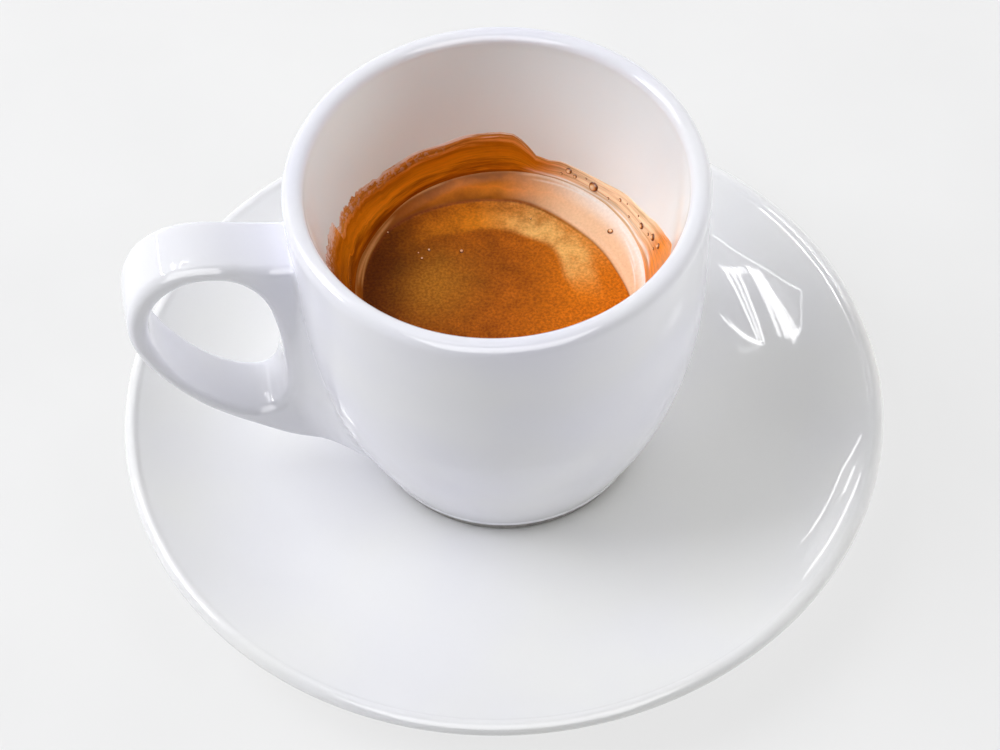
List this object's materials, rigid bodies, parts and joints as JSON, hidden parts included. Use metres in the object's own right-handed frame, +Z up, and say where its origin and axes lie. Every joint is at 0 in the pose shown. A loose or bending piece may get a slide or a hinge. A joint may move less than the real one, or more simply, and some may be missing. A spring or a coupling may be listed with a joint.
{
  "type": "espresso shot",
  "caption": "Espresso in a thick-walled glazed cup with an ear handle, standing on a round saucer; crema covers the drink and clings to the wall above it.",
  "frame": {"origin": "middle of the saucer's foot ring, on the table", "axes": "+Z up along the saucer's axis; -X towards the cup's handle, which is turned 9.7 degrees from -X towards -Y"},
  "size_m": [0.12, 0.12, 0.0657],
  "materials": {
    "porcelain": "glossy white glaze",
    "crema": "wet brown foam"
  },
  "bodies": {
    "root": {"saucer": "porcelain", "cup": "porcelain", "espresso": "crema"}
  },
  "joints": []
}
